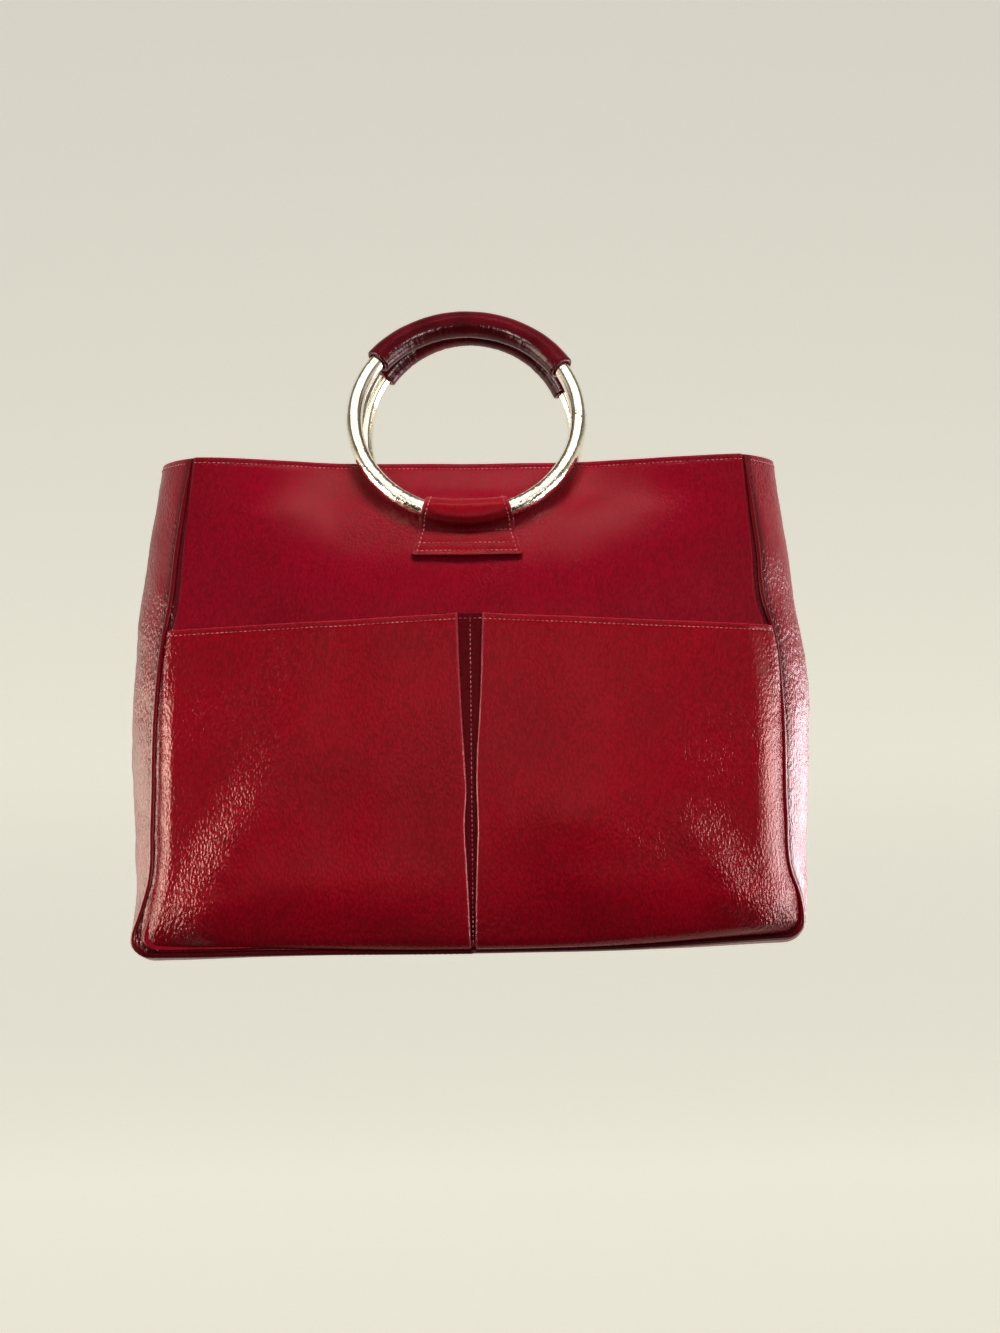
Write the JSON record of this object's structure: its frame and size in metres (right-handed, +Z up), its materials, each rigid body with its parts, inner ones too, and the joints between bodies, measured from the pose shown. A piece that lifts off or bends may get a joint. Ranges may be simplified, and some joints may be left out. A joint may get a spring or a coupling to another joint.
{
  "type": "tote bag",
  "caption": "Open leather tote bag with metal ring handles, leather grips, a deep bottom and side gusset, and a pleated patch pocket across the front.",
  "frame": {"origin": "the point that the bag hangs by, on the line where the undersides of both grips rest", "axes": "+Z up, +X to the right of the front panel, +Y from the front to the back"},
  "size_m": [0.3537, 0.0958, 0.3361],
  "materials": {
    "red_leather": "semi-gloss pebbled cherry red leather",
    "burgundy_leather": "smooth semi-gloss burgundy leather",
    "plated_metal": "polished warm silver plating with small pits"
  },
  "bodies": {
    "root": {"front_panel": "red_leather", "back_panel": "red_leather", "gusset": "red_leather", "front_welt": "red_leather", "back_welt": "red_leather", "front_pocket": "red_leather", "front_handle_tab": "red_leather", "back_handle_tab": "red_leather", "front_ring": "plated_metal", "back_ring": "plated_metal", "front_grip": "burgundy_leather", "back_grip": "burgundy_leather"}
  },
  "joints": []
}
